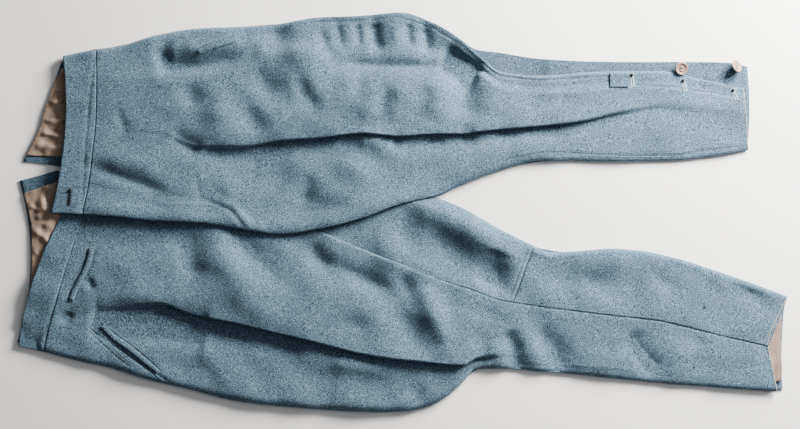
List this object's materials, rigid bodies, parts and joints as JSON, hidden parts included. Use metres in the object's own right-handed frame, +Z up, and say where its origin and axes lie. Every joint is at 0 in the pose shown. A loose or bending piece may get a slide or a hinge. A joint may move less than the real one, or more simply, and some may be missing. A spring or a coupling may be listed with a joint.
{
  "type": "uniform riding breeches",
  "caption": "Horizon-blue wool military riding breeches laid flat, with a lapped fly, flared thighs folded under and buttoned ankles.",
  "frame": {"origin": "centre of the bottom of the box around the garment, on the surface that it lies on", "axes": "+X from the waist to the hems, +Y towards the wearer's left leg, +Z up out of the front"},
  "size_m": [1.0002, 0.518, 0.0195],
  "materials": {
    "wool": "milled horizon-blue wool with a matt, slightly hairy face",
    "sateen": "brown cotton sateen with a soft sheen, creased",
    "facing": "pinkish tan ribbed cotton facing",
    "button": "pressed brown composition, dull polish"
  },
  "bodies": {
    "root": {"front_left": "wool", "front_right": "wool", "inner_leg_thigh_right": "wool", "inner_leg_calf_right": "wool", "folded_cloth_left": "wool", "folded_cloth_right": "wool", "waistband_left": "wool", "waistband_right": "wool", "back_left": "wool", "back_right": "wool", "back_lining_left": "sateen", "back_lining_right": "sateen", "hem_facing_right": "facing", "watch_pocket_welt_right": "wool", "side_pocket_lip_right": "wool", "side_pocket_lip_left": "wool", "fly_facing_left": "facing", "placket_facing_left": "facing", "ankle_button_1": "button", "ankle_button_2": "button"}
  },
  "joints": []
}
